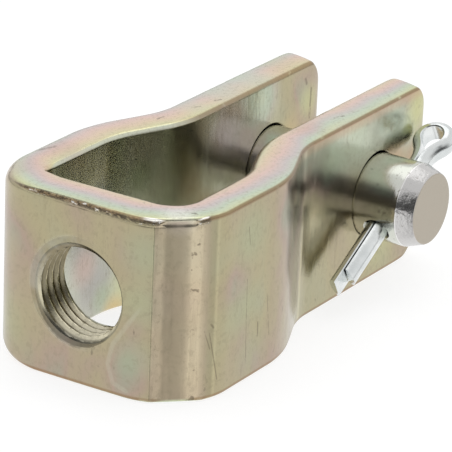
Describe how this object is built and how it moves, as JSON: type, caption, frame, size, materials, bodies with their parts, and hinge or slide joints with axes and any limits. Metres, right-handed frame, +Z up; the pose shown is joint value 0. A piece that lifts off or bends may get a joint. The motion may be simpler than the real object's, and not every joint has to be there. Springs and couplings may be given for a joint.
{
  "type": "clevis rod end",
  "caption": "Strap-type clevis rod end: bent flat-bar fork with a threaded hole in its closed end, and a headed clevis pin through its ears held by a cotter pin.",
  "frame": {"origin": "where the threaded hole's axis meets the outer face of the front wall, at half of the bar's width", "axes": "+Y along the thread's axis from the threaded face to the ears, +X along the clevis pin towards the cotter pin, +Z up across the bar's width"},
  "size_m": [0.0442, 0.0798, 0.03],
  "materials": {
    "yellow_zinc": "mild steel with glossy yellow chromated zinc plating that shimmers faintly pink and green",
    "clear_zinc": "turned mild steel, bright zinc plated, matt sawn end face",
    "bright_wire": "half-round mild steel wire, bright zinc plated"
  },
  "bodies": {
    "yoke": {"yoke": "yellow_zinc"},
    "clevis_pin": {"clevis_pin": "clear_zinc"},
    "cotter_pin": {"cotter_pin": "bright_wire"}
  },
  "joints": [
    {"name": "pin_turn", "type": "hinge", "parent": "yoke", "child": "clevis_pin", "pos_m": [0, 0.064, -0.0001], "axis": [1, 0, 0], "continuous": true},
    {"name": "cotter_pull", "type": "slide", "parent": "clevis_pin", "child": "cotter_pin", "axis": [0, 0.866, 0.5], "range_m": [0, 0.0285]}
  ]
}
